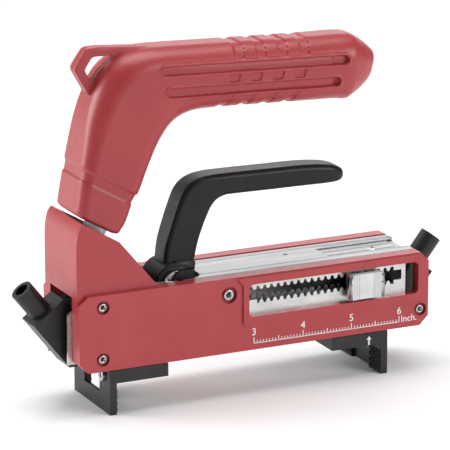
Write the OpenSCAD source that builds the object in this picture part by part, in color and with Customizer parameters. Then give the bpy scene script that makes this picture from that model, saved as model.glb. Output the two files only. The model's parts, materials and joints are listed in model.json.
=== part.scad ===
// Hand-held clamp and angled screw guide for fastening the edges of deck boards.
// Two hanging jaws grip a board while a screw is driven down each slanted guide tube.
// Design axes: X along the rule with its zero at X = 0, Y across the tool with the
// middle plane at Y = 0, Z up with the underside of the frame at Z = 0.

/* [Frame] */
// Left end of the frame, measured from the zero of the rule
frame_x0 = -11.3; // [-13:0.1:-10.5]
// Right end of the frame
frame_x1 = 168; // [167:0.5:172]
// Height of the frame along the window
frame_h = 36; // [35.5:0.1:37]
// Width of the frame over its two walls
frame_w = 37.2; // [36.8:0.1:38]
// Thickness of each frame wall
wall_t = 4.1; // [3.9:0.1:4.2]
// Thickness of each cover plate
cover_t = 2.4; // [2:0.1:3]
// How far the panel round the window stands proud of the cover
bezel_t = 0.9; // [0.5:0.1:1.2]

/* [Window and rack] */
// Left end of the window
win_x0 = 73.4; // [73:0.1:74]
// Right end of the window
win_x1 = 162; // [161:0.5:163]
// Bottom of the window
win_z0 = 16.3; // [16:0.1:17]
// Top of the window
win_z1 = 31.8; // [31:0.1:32]
// Spacing of the rack teeth
pitch = 3.5; // [3:0.1:4]
// Depth of the rack teeth
tooth_h = 1.8; // [1.2:0.1:2]
// Clear height between the tips of the two rows of teeth
slot_h = 4.8; // [4.6:0.1:5]

/* [Jaws and guides] */
// Clear distance between the two jaws with the lever released
jaw_gap = 136; // [134:1:138]
// Inner face of the left jaw
jaw_x = 7; // [6.5:0.1:7.5]
// How far the jaws hang below the frame
jaw_drop = 21.5; // [20:0.5:23]
// Width of the jaws across the tool
jaw_w = 41.5; // [40:0.5:42]
// Slope of the guide tubes below the horizontal
guide_angle = 52; // [51:1:53]
// Outside diameter of a guide tube
tube_od = 10.5; // [10:0.1:11]
// Bore of a guide tube
tube_id = 6.6; // [6:0.1:7]

/* [Lever and handle] */
// Radius of the lever's hub
hub_r = 9.4; // [9:0.1:9.5]
// Diameter of the lever's pivot pin
pivot_d = 4; // [3.6:0.1:4.2]
// Width of the lever where it is squeezed
lever_w = 14; // [12:0.5:16]
// Width of the handle
handle_w = 30; // [28:0.5:32]
// Wall of the moulded handle shells
shell_t = 2.8; // [2.4:0.1:3.2]

/* [Hidden] */

$fn = 48;
eps = 0.01;
frame_half = frame_w / 2;
inner_half = frame_half - wall_t;
cover_half = frame_half + cover_t;
jaw_half = jaw_w / 2;
mid_x = jaw_x + jaw_gap / 2;

// Tower that carries the handle: its top is cut square to the handle's neck
tower_cut = 30;
tower_top = [10, 59.2];
tower_foot = 29.2;
tower_bend = 56;
tower_lean = 3.4;
end_wall_t = 3;
end_win_half = 12.6;
end_win_top = 34.5;
corner = 4.5;
floor_x = [42, 58];
floor_t = 2.2;

// Rack plates lie in pockets in the frame's walls, behind the covers
rack_t = 1.6;
rack_x = [58.3, 156.8];
rack_z = [11.3, 34.2];
slot_mid = 25.7;
slot_x = [68, 150.5];
slot_end = 154.6;
land_x = 79;
rack_screw = [63.6, 27.9];
cover_screws_xz = [[0.5, 30.2], [0.3, 5.7], [163.7, 7.9]];

// The sliding side plates of the left jaw
plate_out = 12.4;
plate_t = 1.3;
plate_x = [-13.4, 125];
plate_z = [2.5, 33];
plate_low = 28.6;

// Guide tubes: the mouth's centre, and the block that the tube stands on
mouth = [-30.6, 37.2];
tube_l = 14.5;
block_half = 7.5;
block_low = 7.4;
block_high = 10.8;
rest_z = [-6.6, -0.4];
rest_l = 25.8;
jaw_t = 3.5;
pad_t = 1.9;

// Lever: its pivot, and the pin that it pushes
pivot = [42.5, 31.5];
drive = [42.5, 12];
drive_d = 4;
arm_y = [8.9, 10.6];
arm_r = 8;
hub_centre = [41.7, 33.3];
hub_side = 12;
rivet_at = [165, 320];
rivet_r = 5.4;

// Top cover of folded sheet: pressed lines along it, and a slot for the right guide
top_z = [35, 35.9];
top_x = [14, 164];
top_half = 14.3;
top_line = 8.7;
top_slot_x = 121.3;
lip_t = 1;

// Right carriage and its button
carriage_x = [112, 162];
carriage_half = 10.8;
carriage_z = [4, 32];
cheek_t = 3.2;
slide_x = [113, 165];
slide_z = 34.5;
slide_screws_x = [117, 148];
carriage_pins_xz = [[152.5, 13], [158, 20]];
button_x = [124.5, 143];
button_z = [17.8, 30];
button_y = [21.2, 24.4];

// Neck of the handle: the steel tang leaves the tower square to its cut
tang_foot = [5.9, 62.4];
tang_sec = [10, 5];
handle_screws_xz = [[11.9, 72.8], [21.5, 89.4], [20, 124], [64, 128], [120, 126]];

// The design's own axes are moved so that the origin is under the middle of the feet
module place() {
    translate([-mid_x, 0, jaw_drop]) children();
}

// Turns an outline drawn in X and Z into a plate between two values of Y
module plate(y0, y1) {
    translate([0, y1, 0]) rotate([90, 0, 0]) linear_extrude(y1 - y0) children();
}

// A cylinder across the tool, from y0 to y1
module cross(p, d, y0, y1) {
    translate([p[0], y1, p[1]]) rotate([90, 0, 0]) cylinder(d = d, h = y1 - y0);
}

// The same shape on the rear side
module rear() {
    mirror([0, 1, 0]) children();
}

// A mirror image about the plane half-way between the jaws
module right_hand() {
    translate([2 * mid_x, 0, 0]) mirror([1, 0, 0]) children();
}

module rounded_box(x, z, r) {
    translate([x[0] + r, z[0] + r])
        for (i = [0, 1], j = [0, 1])
            translate([i * (x[1] - x[0] - 2 * r), j * (z[1] - z[0] - 2 * r)]) circle(r);
    translate([x[0] + r, z[0]]) square([x[1] - x[0] - 2 * r, z[1] - z[0]]);
    translate([x[0], z[0] + r]) square([x[1] - x[0], z[1] - z[0] - 2 * r]);
}

// ---- Frame and covers ----

function tower_z(x) = tower_top[1] + (tower_top[0] - x) * tan(tower_cut);

module wall_outline() {
    bend = [for (a = [0 : 15 : 75])
        [frame_x0 + tower_lean * (1 - cos(a)), tower_bend + 13 * sin(a)]];
    polygon(concat(
        [[frame_x0, corner], [frame_x0 + corner, 0], [frame_x1 - corner, 0], [frame_x1, corner],
         [frame_x1, frame_h - corner], [frame_x1 - corner, frame_h], [tower_foot, frame_h],
         tower_top, [frame_x0 + tower_lean, tower_z(frame_x0 + tower_lean)]],
        [for (i = [5 : -1 : 0]) bend[i]]));
}

module end_wall_outline() {
    intersection() {
        wall_outline();
        difference() {
            translate([frame_x0, end_win_top])
                square([end_wall_t + tower_lean, tower_z(frame_x0) - end_win_top]);
            polygon([[frame_x0 + end_wall_t, end_win_top - 1],
                [frame_x0 + end_wall_t, tower_bend],
                [frame_x0 + end_wall_t + 1, tower_bend + 9],
                [frame_x0 + end_wall_t + tower_lean, tower_bend + 16],
                [frame_x0 + 20, tower_bend], [frame_x0 + 20, end_win_top - 1]]);
        }
    }
}

module frame() {
    color("firebrick") difference() {
        union() {
            plate(-frame_half, -inner_half) wall_outline();
            plate(inner_half, frame_half) wall_outline();
            plate(-inner_half - eps, inner_half + eps) end_wall_outline();
            for (s = [-1, 1])
                translate([frame_x0, s > 0 ? end_win_half : -inner_half - eps, corner])
                    cube([end_wall_t, inner_half - end_win_half + eps, end_win_top - corner + eps]);
            translate([floor_x[0], -inner_half - eps, 0])
                cube([floor_x[1] - floor_x[0], 2 * inner_half + 2 * eps, floor_t]);
        }
        // Window behind the racks, and the pockets that the racks lie in
        for (s = [0, 1]) mirror([0, s, 0]) {
            plate(-frame_half - 1, -inner_half + 1)
                rounded_box([win_x0 - 1, win_x1 + 1], [win_z0 - 1.3, win_z1 + 1.2], 2);
            plate(-frame_half - 1, -frame_half + rack_t)
                translate([rack_x[0], rack_z[0]])
                    square([rack_x[1] - rack_x[0], rack_z[1] - rack_z[0]]);
            for (p = cover_screws_xz) cross(p, 2.9, -frame_half - 1, -inner_half - 0.5);
            cross(rack_screw, 3.9, -frame_half - 1, -inner_half - 0.5);
            cross(pivot, pivot_d, -frame_half - 1, -inner_half + 1);
        }
    }
}

module cover_outline(inset = 0) {
    x0 = frame_x0 + inset;
    x1 = frame_x1 - inset;
    z1 = frame_h - inset;
    polygon([[x0, corner], [x0 + corner - inset, inset], [x1 - corner + inset, inset], [x1, corner],
        [x1, frame_h - corner], [x1 - corner + inset, z1], [x0 + corner - inset, z1],
        [x0, frame_h - corner]]);
}

// Raised panel round the window, with its cut upper corner and its round lower corner
module bezel_outline() {
    r = 2.3;
    x = 70.5;
    z = 12.2;
    round_corner = [for (a = [180 : 15 : 270]) [x + r + r * cos(a), z + r + r * sin(a)]];
    intersection() {
        cover_outline(0.8);
        polygon(concat([[66.8, frame_h], [x, 31.6]], round_corner,
            [[frame_x1, z], [frame_x1, frame_h]]));
    }
}

module cover() {
    difference() {
        union() {
            plate(-cover_half, -frame_half) cover_outline();
            plate(-cover_half - bezel_t, -cover_half + eps) bezel_outline();
        }
        plate(-cover_half - 2, -frame_half + 1)
            rounded_box([win_x0, win_x1], [win_z0, win_z1], 2.4);
        for (p = cover_screws_xz) {
            cross(p, 3.3, -cover_half - 1, -frame_half + 1);
            cross(p, 6.4, -cover_half - 1, -cover_half + 1.9);
        }
        cross(rack_screw, 4.3, -cover_half - 1, -frame_half + 1);
        cross(rack_screw, 8, -cover_half - 1, -cover_half + 1.9);
    }
}

module front_cover() {
    color("indianred") cover();
}

module rear_cover() {
    color("indianred") rear() cover();
}

// Socket screw with its head seated in the cover's recess
module cap_screw(p, head_d, head_h, shank_d, socket) {
    y = -cover_half + 1.9;
    difference() {
        union() {
            cross(p, head_d, y - head_h, y);
            cross(p, shank_d, y - eps, -inner_half - 0.6);
        }
        translate([p[0], y - head_h + 1.1, p[1]]) rotate([90, 0, 0])
            cylinder(d = socket, h = 2, $fn = 6);
    }
}

module cover_screws() {
    color("silver") for (s = [0, 1], p = cover_screws_xz)
        mirror([0, s, 0]) cap_screw(p, 4.8, 1.4, 2.9, 2.6);
}

module rack_screws() {
    color("silver") for (s = [0, 1])
        mirror([0, s, 0]) cap_screw(rack_screw, 6, 1.5, 3.9, 3.2);
}

// ---- Racks ----

// One tooth, standing on the line z = 0
module tooth() {
    polygon([[-1.25, -eps], [1.25, -eps], [0.75, tooth_h - 0.35], [0.35, tooth_h],
        [-0.35, tooth_h], [-0.75, tooth_h - 0.35]]);
}

// Long slot with a row of teeth along each edge
module toothed_slot(x0, x1) {
    lo = slot_mid - slot_h / 2 - tooth_h;
    hi = slot_mid + slot_h / 2 + tooth_h;
    n = floor((x1 - x0) / pitch) - 1;
    difference() {
        translate([x0, lo]) square([x1 - x0, hi - lo]);
        for (i = [0 : n]) translate([x0 + pitch * (i + 0.75), 0]) {
            translate([0, lo]) tooth();
            translate([0, hi]) mirror([0, 1]) tooth();
        }
    }
}

module rack() {
    difference() {
        plate(-frame_half, -frame_half + rack_t) difference() {
            translate([rack_x[0], rack_z[0]])
                square([rack_x[1] - rack_x[0], rack_z[1] - rack_z[0]]);
            difference() {
                toothed_slot(slot_x[0], slot_x[1]);
                translate([slot_x[0], slot_mid - slot_h])
                    square([land_x - slot_x[0], slot_h / 2]);
            }
            translate([slot_x[1] - eps, slot_mid - slot_h / 2])
                square([slot_end - slot_x[1], slot_h]);
        }
        cross(rack_screw, 3.9, -frame_half - 1, -inner_half);
    }
}

module front_rack() {
    color("lightgray") rack();
}

module rear_rack() {
    color("lightgray") rear() rack();
}

// Half of the folded sheet's section, in Y and Z: flat top, pressed line, bend and flange
module sheet_section(inner) {
    bend = [for (a = [0 : 15 : 90])
        [top_half - 1.4 + 1.4 * sin(a), top_z[1] - 1.6 + 1.4 * cos(a)]];
    polygon(concat([[inner, top_z[1]], [top_line - 0.5, top_z[1]], [top_line, top_z[1] - 0.45],
            [top_line + 0.5, top_z[1] - 0.2]], bend,
        [[top_half, 31.2], [top_half - lip_t, 31.2], [top_half - lip_t, top_z[0] - 0.5],
         [top_half - lip_t - 0.4, top_z[0] - 0.2], [top_line + 0.5, top_z[0] - 0.2],
         [inner, top_z[0] - 0.2]]));
}

// The section drawn along X, from x0 to x1, on both sides
module sheet_run(x0, x1, inner) {
    for (s = [0, 1]) mirror([0, s, 0])
        translate([x0, 0, 0]) rotate([90, 0, 90]) linear_extrude(x1 - x0) sheet_section(inner);
}

// Folded steel sheet that closes the top of the frame. The right guide runs in its slot.
module top_cover() {
    color("silver") difference() {
        union() {
            sheet_run(top_x[0], top_slot_x, -eps);
            sheet_run(top_slot_x - eps, top_x[1], top_line - 0.6);
        }
        // Round-ended opening for the lever's hub
        translate([31.2, -arm_y[1] - 0.4, top_z[0] - 1]) cube([17.5, 2 * arm_y[1] + 0.8, 3]);
        translate([37, -hub_side - 0.4, top_z[0] - 1]) cube([11.7, 2 * hub_side + 0.8, 3]);
        translate([48.7, -hub_side + 5.6, top_z[0] - 1]) cube([6, 2 * hub_side - 11.2, 3]);
        for (s = [-1, 1]) translate([48.7, s * (hub_side - 5.6), top_z[0] - 1])
            cylinder(r = 6, h = 3);
        cross(pivot, 9, -inner_half, inner_half);
        translate([104.5, 3.5, top_z[0] - 1]) cylinder(d = 2.2, h = 3);
    }
}

module pivot_pin() {
    color("silver") cross(pivot, pivot_d, -frame_half + 0.3, frame_half - 0.3);
}

// Post on the floor of the frame that the jaw spring pushes against
module spring_post() {
    color("gray") {
        translate([44, -6, floor_t]) cube([4, 12, 10]);
        translate([43, 0, 8]) rotate([0, 90, 0]) cylinder(d = 4, h = 1 + eps);
    }
}

// ---- Handle ----

// Steel bar that joins the tower to the handle, welded to a cross block in the tower
module tang() {
    color("silver") difference() {
        union() {
            translate([tang_foot[0], 0, tang_foot[1]]) rotate([0, tower_cut, 0])
                translate([-tang_sec[0] / 2, -tang_sec[1] / 2, -10])
                    cube([tang_sec[0], tang_sec[1], 50]);
            translate([tang_foot[0], 0, tang_foot[1]]) rotate([0, tower_cut, 0])
                translate([-4.5, -inner_half, -17]) cube([10.5, 2 * inner_half, 10]);
        }
        for (i = [0, 1]) cross(handle_screws_xz[i], 3, -inner_half, inner_half);
    }
}

module handle_outline() {
    polygon([[-8.2, 72.0], [-5.6, 88.5], [-4.3, 95.5], [-0.5, 114.4], [2.8, 124.2], [6, 131.5],
        [10.5, 137.5], [17, 141.8], [26, 144], [45, 143.9], [66, 143.2], [127, 141.2], [134, 140],
        [140, 136.8], [144, 132.6], [145.4, 128.5], [144.2, 122.5], [141, 116.5], [136, 112.6],
        [129, 111], [110, 111.7], [67, 113.2], [54, 113.3], [46, 111.6], [39.5, 107.6], [34, 101],
        [22, 80], [18.5, 73.5], [16, 66.5], [14.6, 62.6], [11.8, 60.5]]);
}

module loop_outline() {
    difference() {
        polygon([[2.6, 124], [-4.6, 137], [1.6, 145.6], [8, 146.2], [30, 144], [20, 125]]);
        polygon([[4.4, 141.9], [0.5, 136.3], [3.9, 130], [8.2, 135.6], [15.4, 140.4], [12.8, 141.9]]);
    }
}

// Front half of the handle's outer form, stepped in towards its side
module handle_form() {
    half = handle_w / 2;
    plate(-half + 5.5, 0) handle_outline();
    plate(-half + 2, 0) offset(delta = -1.6) handle_outline();
    plate(-half, 0) offset(delta = -4.2) handle_outline();
    plate(-3, 0) loop_outline();
}

// Hollow of one half: the grip's, and a slot that holds the tang
module handle_cavity() {
    plate(-handle_w / 2 + shell_t, 1) difference() {
        offset(delta = -4.2 - shell_t) handle_outline();
        polygon([[-20, 50], [-20, 150], [24, 150], [24, 131], [8, 126], [4, 81], [30, 81], [30, 50]]);
    }
    translate([tang_foot[0], 0, tang_foot[1]]) rotate([0, tower_cut, 0])
        translate([-tang_sec[0] / 2 - 0.1, -tang_sec[1] / 2 - 0.1, -6])
            cube([tang_sec[0] + 0.2, tang_sec[1] + 2, 46.3]);
}

// How far each screw boss stops short of the middle: the lowest stands on the tang
function boss_y(i) = i < 2 ? tang_sec[1] / 2 + 0.1 : 0;

module handle_half() {
    difference() {
        handle_form();
        handle_cavity();
    }
    for (i = [1 : 4])
        cross(handle_screws_xz[i], 8, -handle_w / 2 + shell_t - 1, -boss_y(i));
}

module handle_front() {
    color("crimson") difference() {
        handle_half();
        for (p = handle_screws_xz) cross(p, 3, -handle_w / 2 + 4, 1);
    }
}

module handle_rear() {
    color("crimson") difference() {
        rear() handle_half();
        for (p = handle_screws_xz) {
            cross(p, 3, -1, handle_w / 2 + 1);
            cross(p, 6.6, handle_w / 2 - 2.4, handle_w / 2 + 1);
        }
    }
}

module handle_screws() {
    y = handle_w / 2 - 2.4;
    color("silver") for (p = handle_screws_xz) difference() {
        union() {
            cross(p, 6.2, y, y + 1.8);
            cross(p, 3, -handle_w / 2 + 4.2, y + eps);
        }
        translate([p[0], y + 3, p[1]]) rotate([90, 0, 0]) cylinder(d = 2.8, h = 2.2, $fn = 6);
    }
}

// ---- Left jaw, which the lever pushes along the tool ----

// Outline of a guide block: a bar along the screw's line, cut level above the jaw
module guide_outline() {
    along = [cos(guide_angle), -sin(guide_angle)];
    across = [sin(guide_angle), cos(guide_angle)];
    centre = mouth + tube_l * along;
    low = centre - block_low * across;
    high = centre + block_high * across;
    foot = rest_z[1];
    polygon([low, high,
        high + (high[1] - foot) / sin(guide_angle) * along,
        low + (low[1] - foot) / sin(guide_angle) * along]);
}

module guide() {
    difference() {
        union() {
            plate(-block_half, block_half) guide_outline();
            translate([mouth[0], 0, mouth[1]]) rotate([0, 90 + guide_angle, 0])
                cylinder(d = tube_od, h = tube_l + 1);
        }
        translate([mouth[0], 0, mouth[1]]) rotate([0, 90 + guide_angle, 0])
            translate([0, 0, -1]) cylinder(d = tube_id, h = 70);
    }
}

module left_guide() {
    color("dimgray") difference() {
        union() {
            guide();
            // Ears that the side plates are screwed to, and the seat of the spring
            translate([-7, -plate_out + plate_t, 4]) cube([16, 2 * (plate_out - plate_t), 9]);
            translate([4, -6, 3]) cube([12, 12, 10]);
        }
        translate([mouth[0], 0, mouth[1]]) rotate([0, 90 + guide_angle, 0])
            translate([0, 0, -1]) cylinder(d = tube_id, h = 70);
        for (s = [-1, 1], x = [-3.5, 5])
            translate([x, s * 9, 8.5]) rotate([90, 0, 0]) cylinder(d = 2.5, h = 5, center = true);
        for (s = [-1, 1]) translate([11, s * 5, -1]) cylinder(d = 2.5, h = 6);
    }
}

module left_plate_outline() {
    r = 3;
    round_corner = [for (a = [180 : -15 : 90])
        [plate_x[0] + r + r * cos(a), 27.7 - r + r * sin(a)]];
    difference() {
        polygon(concat([[plate_x[0], plate_z[0]]], round_corner,
            [[-6, 27.7], [-5, plate_low], [62, plate_low], [66, plate_z[1] - 2.2],
             [plate_x[1], plate_z[1] - 2.2], [plate_x[1], plate_z[0]]]));
        toothed_slot(slot_x[0] + 3 * pitch / 2, plate_x[1] + 9);
    }
}

module left_plates() {
    color("lightgray") for (s = [0, 1]) mirror([0, s, 0]) difference() {
        plate(-plate_out, -plate_out + plate_t) left_plate_outline();
        for (x = [-3.5, 5]) cross([x, 8.5], 2.5, -plate_out - 1, -plate_out + plate_t + 1);
        cross(drive, drive_d, -plate_out - 1, -plate_out + plate_t + 1);
    }
}

module plate_screws() {
    color("silver") for (s = [0, 1], x = [-3.5, 5]) mirror([0, s, 0]) {
        cross([x, 8.5], 2.5, -plate_out - 0.2, -7.2);
        cross([x, 8.5], 5, -plate_out - 1.5, -plate_out);
    }
}

module drive_pins() {
    color("silver") for (s = [0, 1]) mirror([0, s, 0])
        cross(drive, drive_d, -plate_out - 0.8, -arm_y[0] + 0.2);
}

// Compression spring that pushes the left jaw open
module jaw_spring() {
    turns = 7;
    steps = 10;
    r = 3.6;
    wire = 0.5;
    x0 = 16.1;
    x1 = 43.9;
    n = turns * steps;
    ring = [for (i = [0 : n], k = [0 : 5])
        let (a = 360 * i / steps, b = 60 * k, rr = r + wire * cos(b))
        [x0 + wire + (x1 - x0 - 2 * wire) * i / n + wire * sin(b), rr * cos(a), 8 + rr * sin(a)]];
    sides = [for (i = [0 : n - 1], k = [0 : 5])
        [6 * i + k, 6 * i + (k + 1) % 6, 6 * i + 6 + (k + 1) % 6, 6 * i + 6 + k]];
    color("silver") polyhedron(ring, concat([[5, 4, 3, 2, 1, 0]], sides,
        [[for (k = [0 : 5]) 6 * n + k]]));
}

// Upright jaw plate with the window that the screw passes through
module jaw() {
    difference() {
        translate([jaw_x - jaw_t, -jaw_half, -jaw_drop])
            cube([jaw_t, jaw_w, jaw_drop + rest_z[1]]);
        translate([jaw_x - jaw_t - 1, -8.8, -13.4]) cube([jaw_t + 2, 17.6, 9.9]);
        // Thinner below the rest, where the pads stand on it
        translate([jaw_x - pad_t, -jaw_half - 1, -jaw_drop - 1])
            cube([pad_t + 1, jaw_w + 2, jaw_drop - 6]);
        for (s = [-1, 1]) translate([jaw_x - jaw_t - 1, s * 13.5, -4]) rotate([0, 90, 0])
            cylinder(d = 2.9, h = 8);
    }
}

// Flat rest that lies on the board, screwed to the jaw's back
module rest() {
    difference() {
        translate([jaw_x, -jaw_half, rest_z[0]]) cube([rest_l, jaw_w, rest_z[1] - rest_z[0]]);
        translate([jaw_x - 1, -8.8, rest_z[0] - 1]) cube([3.5, 17.6, 9]);
        for (s = [-1, 1]) {
            translate([jaw_x - 1, s * 13.5, -4]) rotate([0, 90, 0]) cylinder(d = 2.9, h = 8);
            translate([11, s * 5, rest_z[0] - 1]) cylinder(d = 2.5, h = 9);
            translate([11, s * 5, rest_z[0] - 1]) cylinder(d = 5.2, h = 2.8);
        }
    }
}

// Steel pads on the gripping face of the jaw, knurled with two lattices of pyramids
module pads() {
    step = 3;
    for (s = [0, 1]) mirror([0, s, 0]) {
        translate([jaw_x - pad_t, 8.8, -jaw_drop])
            cube([pad_t, jaw_half - 8.8, jaw_drop - 7]);
        for (odd = [0, 1], i = [0 : 3 - odd], j = [0 : 3 - odd])
            translate([jaw_x - eps, 10.3 + step * (i + odd / 2), -jaw_drop + 1.8 + step * (j + odd / 2)])
                rotate([0, 90, 0]) cylinder(d1 = 2.8, d2 = 1, h = 0.8, $fn = 4);
    }
}

module jaw_screws() {
    for (s = [-1, 1]) {
        translate([jaw_x - jaw_t - 1.6, s * 13.5, -4]) rotate([0, 90, 0]) difference() {
            cylinder(d = 5.6, h = 1.6);
            translate([0, 0, -1]) cylinder(d = 2.6, h = 2, $fn = 6);
        }
        translate([jaw_x - jaw_t, s * 13.5, -4]) rotate([0, 90, 0]) cylinder(d = 2.9, h = 10);
        translate([11, s * 5, rest_z[0] + 0.3]) cylinder(d = 5.2, h = 1.5);
        translate([11, s * 5, rest_z[0] + 0.4]) cylinder(d = 2.5, h = 9.6);
    }
}

module left_jaw() {
    color("dimgray") jaw();
}

module left_rest() {
    color("dimgray") rest();
}

module left_pads() {
    color("dimgray") pads();
}

module left_jaw_screws() {
    color("silver") jaw_screws();
}

// ---- Lever ----

// Side view of the lever from its hub round the bend to its free end
module lever_outline() {
    polygon([[36.4, 41.5], [36.2, 46], [45, 70.3], [48.8, 76.6], [54, 79.9], [61, 81.2],
        [67, 81.5], [110, 80.9], [125.5, 79.2], [130.5, 76.5], [131.6, 73.8], [130.2, 70.8],
        [126, 70.6], [69, 71.2], [64, 68.8], [60.3, 64.2], [56.4, 55.6], [53.6, 46], [53, 41.5]]);
}

module lever() {
    color("dimgray") difference() {
        union() {
            plate(-lever_w / 2, lever_w / 2) offset(delta = -1.6) lever_outline();
            plate(-lever_w / 2 + 2.4, lever_w / 2 - 2.4) lever_outline();
            cross(hub_centre, 2 * hub_r, -arm_y[0] + 0.1, arm_y[0] - 0.1);
            plate(-lever_w / 2 - 1.6, lever_w / 2 + 1.6) polygon([[34.4, 37.5], [52, 36],
                [52.6, 42], [51.6, 43.4], [36, 43.4], [33.9, 42.4], [33.1, 40.6]]);
            plate(-hub_side, hub_side) polygon([[38.7, 34.2], [49.4, 34.2], [50.4, 35.2],
                [50.4, 38.6], [49.4, 39.6], [40.2, 39.6], [39, 38]]);
        }
        cross(pivot, pivot_d + 0.1, -20, 20);
        // Pockets for the steel arms
        for (s = [0, 1]) mirror([0, s, 0])
            cross(pivot, 2 * arm_r + 0.6, -arm_y[1] - 0.1, -arm_y[0] + 0.1);
        for (a = rivet_at) cross(pivot + rivet_r * [cos(a), sin(a)], 2, -20, 20);
    }
}

// Steel arms either side of the hub, each with a slot round the drive pin
module lever_arms() {
    slot = drive_d + 1;
    color("silver") for (s = [0, 1]) mirror([0, s, 0]) difference() {
        plate(-arm_y[1], -arm_y[0]) difference() {
            union() {
                translate(pivot) circle(arm_r);
                translate([pivot[0] - 5, drive[1] - 4.5]) square([10, pivot[1] - drive[1]]);
            }
            translate(drive) circle(d = slot);
            translate([drive[0] - slot / 2, drive[1] - 6]) square([slot, 6]);
        }
        cross(pivot, pivot_d + 0.1, -20, 0);
        for (a = rivet_at) cross(pivot + rivet_r * [cos(a), sin(a)], 2, -20, 20);
    }
}

// Rivets that hold the arms to the hub
module arm_pins() {
    color("gray") for (a = rivet_at)
        cross(pivot + rivet_r * [cos(a), sin(a)], 2, -arm_y[1], arm_y[1]);
}

// ---- Right jaw, which slides to the width of the board ----

module right_guide() {
    color("dimgray") difference() {
        right_hand() guide();
        for (p = carriage_pins_xz) cross(p, 3, -20, 20);
        for (s = [-1, 1]) translate([2 * mid_x - 11, s * 5, -1]) cylinder(d = 2.5, h = 6);
    }
}

module right_jaw() {
    color("dimgray") right_hand() jaw();
}

module right_rest() {
    color("dimgray") right_hand() rest();
}

module right_pads() {
    color("dimgray") right_hand() pads();
}

module right_jaw_screws() {
    color("silver") right_hand() jaw_screws();
}

// Side view of the carriage, whose lower right corner follows the guide's slope
module carriage_outline() {
    polygon([[carriage_x[0], carriage_z[0]], [146, carriage_z[0]], [163.5, 26],
        [163.5, carriage_z[1]], [carriage_x[0], carriage_z[1]]]);
}

// Cheeks either side of the guide, with a solid part in front of it
module right_carriage() {
    mid = (button_x[0] + button_x[1]) / 2;
    color("black") difference() {
        plate(-carriage_half, carriage_half) carriage_outline();
        plate(-block_half, block_half) right_hand() guide_outline();
        plate(-block_half, block_half) polygon([[139, 0], [170, 0], [170, 40], [163.3, 33]]);
        for (s = [0, 1]) mirror([0, s, 0])
            cross([mid, slot_mid], 5.2, -carriage_half - 1, -4);
        for (p = carriage_pins_xz) cross(p, 3, -20, 20);
        for (x = slide_screws_x) translate([x, 0, carriage_z[1] - 8]) cylinder(d = 2.5, h = 9);
    }
}

module carriage_pins() {
    color("silver") for (p = carriage_pins_xz) cross(p, 3, -carriage_half, carriage_half);
}

// Ribbed sheet on top of the carriage, seen through the slot in the top cover
module slide_top() {
    z = carriage_z[1];
    half = top_line - 0.9;
    r = slide_z - 0.5 - z;
    curl = [for (a = [0 : 15 : 90]) [slide_x[1] - r + r * sin(a), z + r * cos(a)]];
    color("silver") difference() {
        union() {
            plate(-half, half) difference() {
                polygon(concat([[slide_x[0], z], [slide_x[0], slide_z - 0.5]], curl));
                polygon([[162.6, z - 1], [162.6, z + 0.5], [163.8, z + 0.5], [163.8, z - 1]]);
            }
            for (y = [-5.6, 0, 5.6]) translate([top_slot_x, y - 2.1, slide_z - 0.6])
                cube([slide_x[1] - top_slot_x - 5, 4.2, 0.6]);
        }
        for (x = slide_screws_x) {
            translate([x, 0, z - 1]) cylinder(d = 2.5, h = 5);
            translate([x, 0, z + 1.3]) cylinder(d = 4.8, h = 4);
        }
    }
}

module slide_screws() {
    z = carriage_z[1];
    color("silver") for (x = slide_screws_x) {
        translate([x, 0, z + 1.3]) cylinder(d = 4.8, h = 0.8);
        translate([x, 0, z - 7.5]) cylinder(d = 2.5, h = 8.9);
    }
}

// ---- Buttons that lock the right jaw to the racks ----

module button() {
    mid = (button_x[0] + button_x[1]) / 2;
    half = (button_x[1] - button_x[0]) / 2;
    ribs = 11;
    difference() {
        union() {
            plate(-button_y[1] + 1.1, -button_y[0])
                translate([button_x[0], button_z[0]])
                    square([2 * half, button_z[1] - button_z[0]]);
            for (i = [0 : ribs - 1])
                translate([button_x[0] + 0.25 + i * (2 * half - 1.3) / (ribs - 1), 0, 0])
                    plate(-button_y[1] + 0.9 * (1 - pow(2 * i / (ribs - 1) - 1, 2)),
                        -button_y[1] + 1.1 + eps)
                        translate([0, button_z[0]]) square([0.8, button_z[1] - button_z[0]]);
        }
    }
    cross([mid, slot_mid], 4, -button_y[0] - eps, -8);
}

module front_button() {
    color("lightgray") button();
}

module rear_button() {
    color("lightgray") rear() button();
}

// Toothed plate on the button's stem, behind the rack
module lock() {
    mid = (button_x[0] + button_x[1]) / 2;
    y = -frame_half + rack_t + 0.25;
    difference() {
        plate(y, y + 1.2) difference() {
            translate([mid - 7, slot_mid - 2.6]) square([14, 5.2]);
            for (i = [-1.5 : 1 : 1.5], s = [-1, 1])
                translate([mid + pitch * i, slot_mid + s * 2.6]) circle(d = 2, $fn = 12);
        }
        cross([mid, slot_mid], 4, -frame_half - 1, 0);
    }
}

module front_lock() {
    color("silver") lock();
}

module rear_lock() {
    color("silver") rear() lock();
}

place() frame();
place() front_cover();
place() rear_cover();
place() cover_screws();
place() rack_screws();
place() front_rack();
place() rear_rack();
place() top_cover();
place() pivot_pin();
place() tang();
place() handle_front();
place() handle_rear();
place() handle_screws();
place() spring_post();
place() left_guide();
place() left_plates();
place() plate_screws();
place() drive_pins();
place() jaw_spring();
place() left_jaw();
place() left_rest();
place() left_pads();
place() left_jaw_screws();
place() lever();
place() lever_arms();
place() arm_pins();
place() right_carriage();
place() carriage_pins();
place() right_guide();
place() slide_top();
place() slide_screws();
place() right_jaw();
place() right_rest();
place() right_pads();
place() right_jaw_screws();
place() front_button();
place() front_lock();
place() rear_button();
place() rear_lock();
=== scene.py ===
import json
import math

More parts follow.
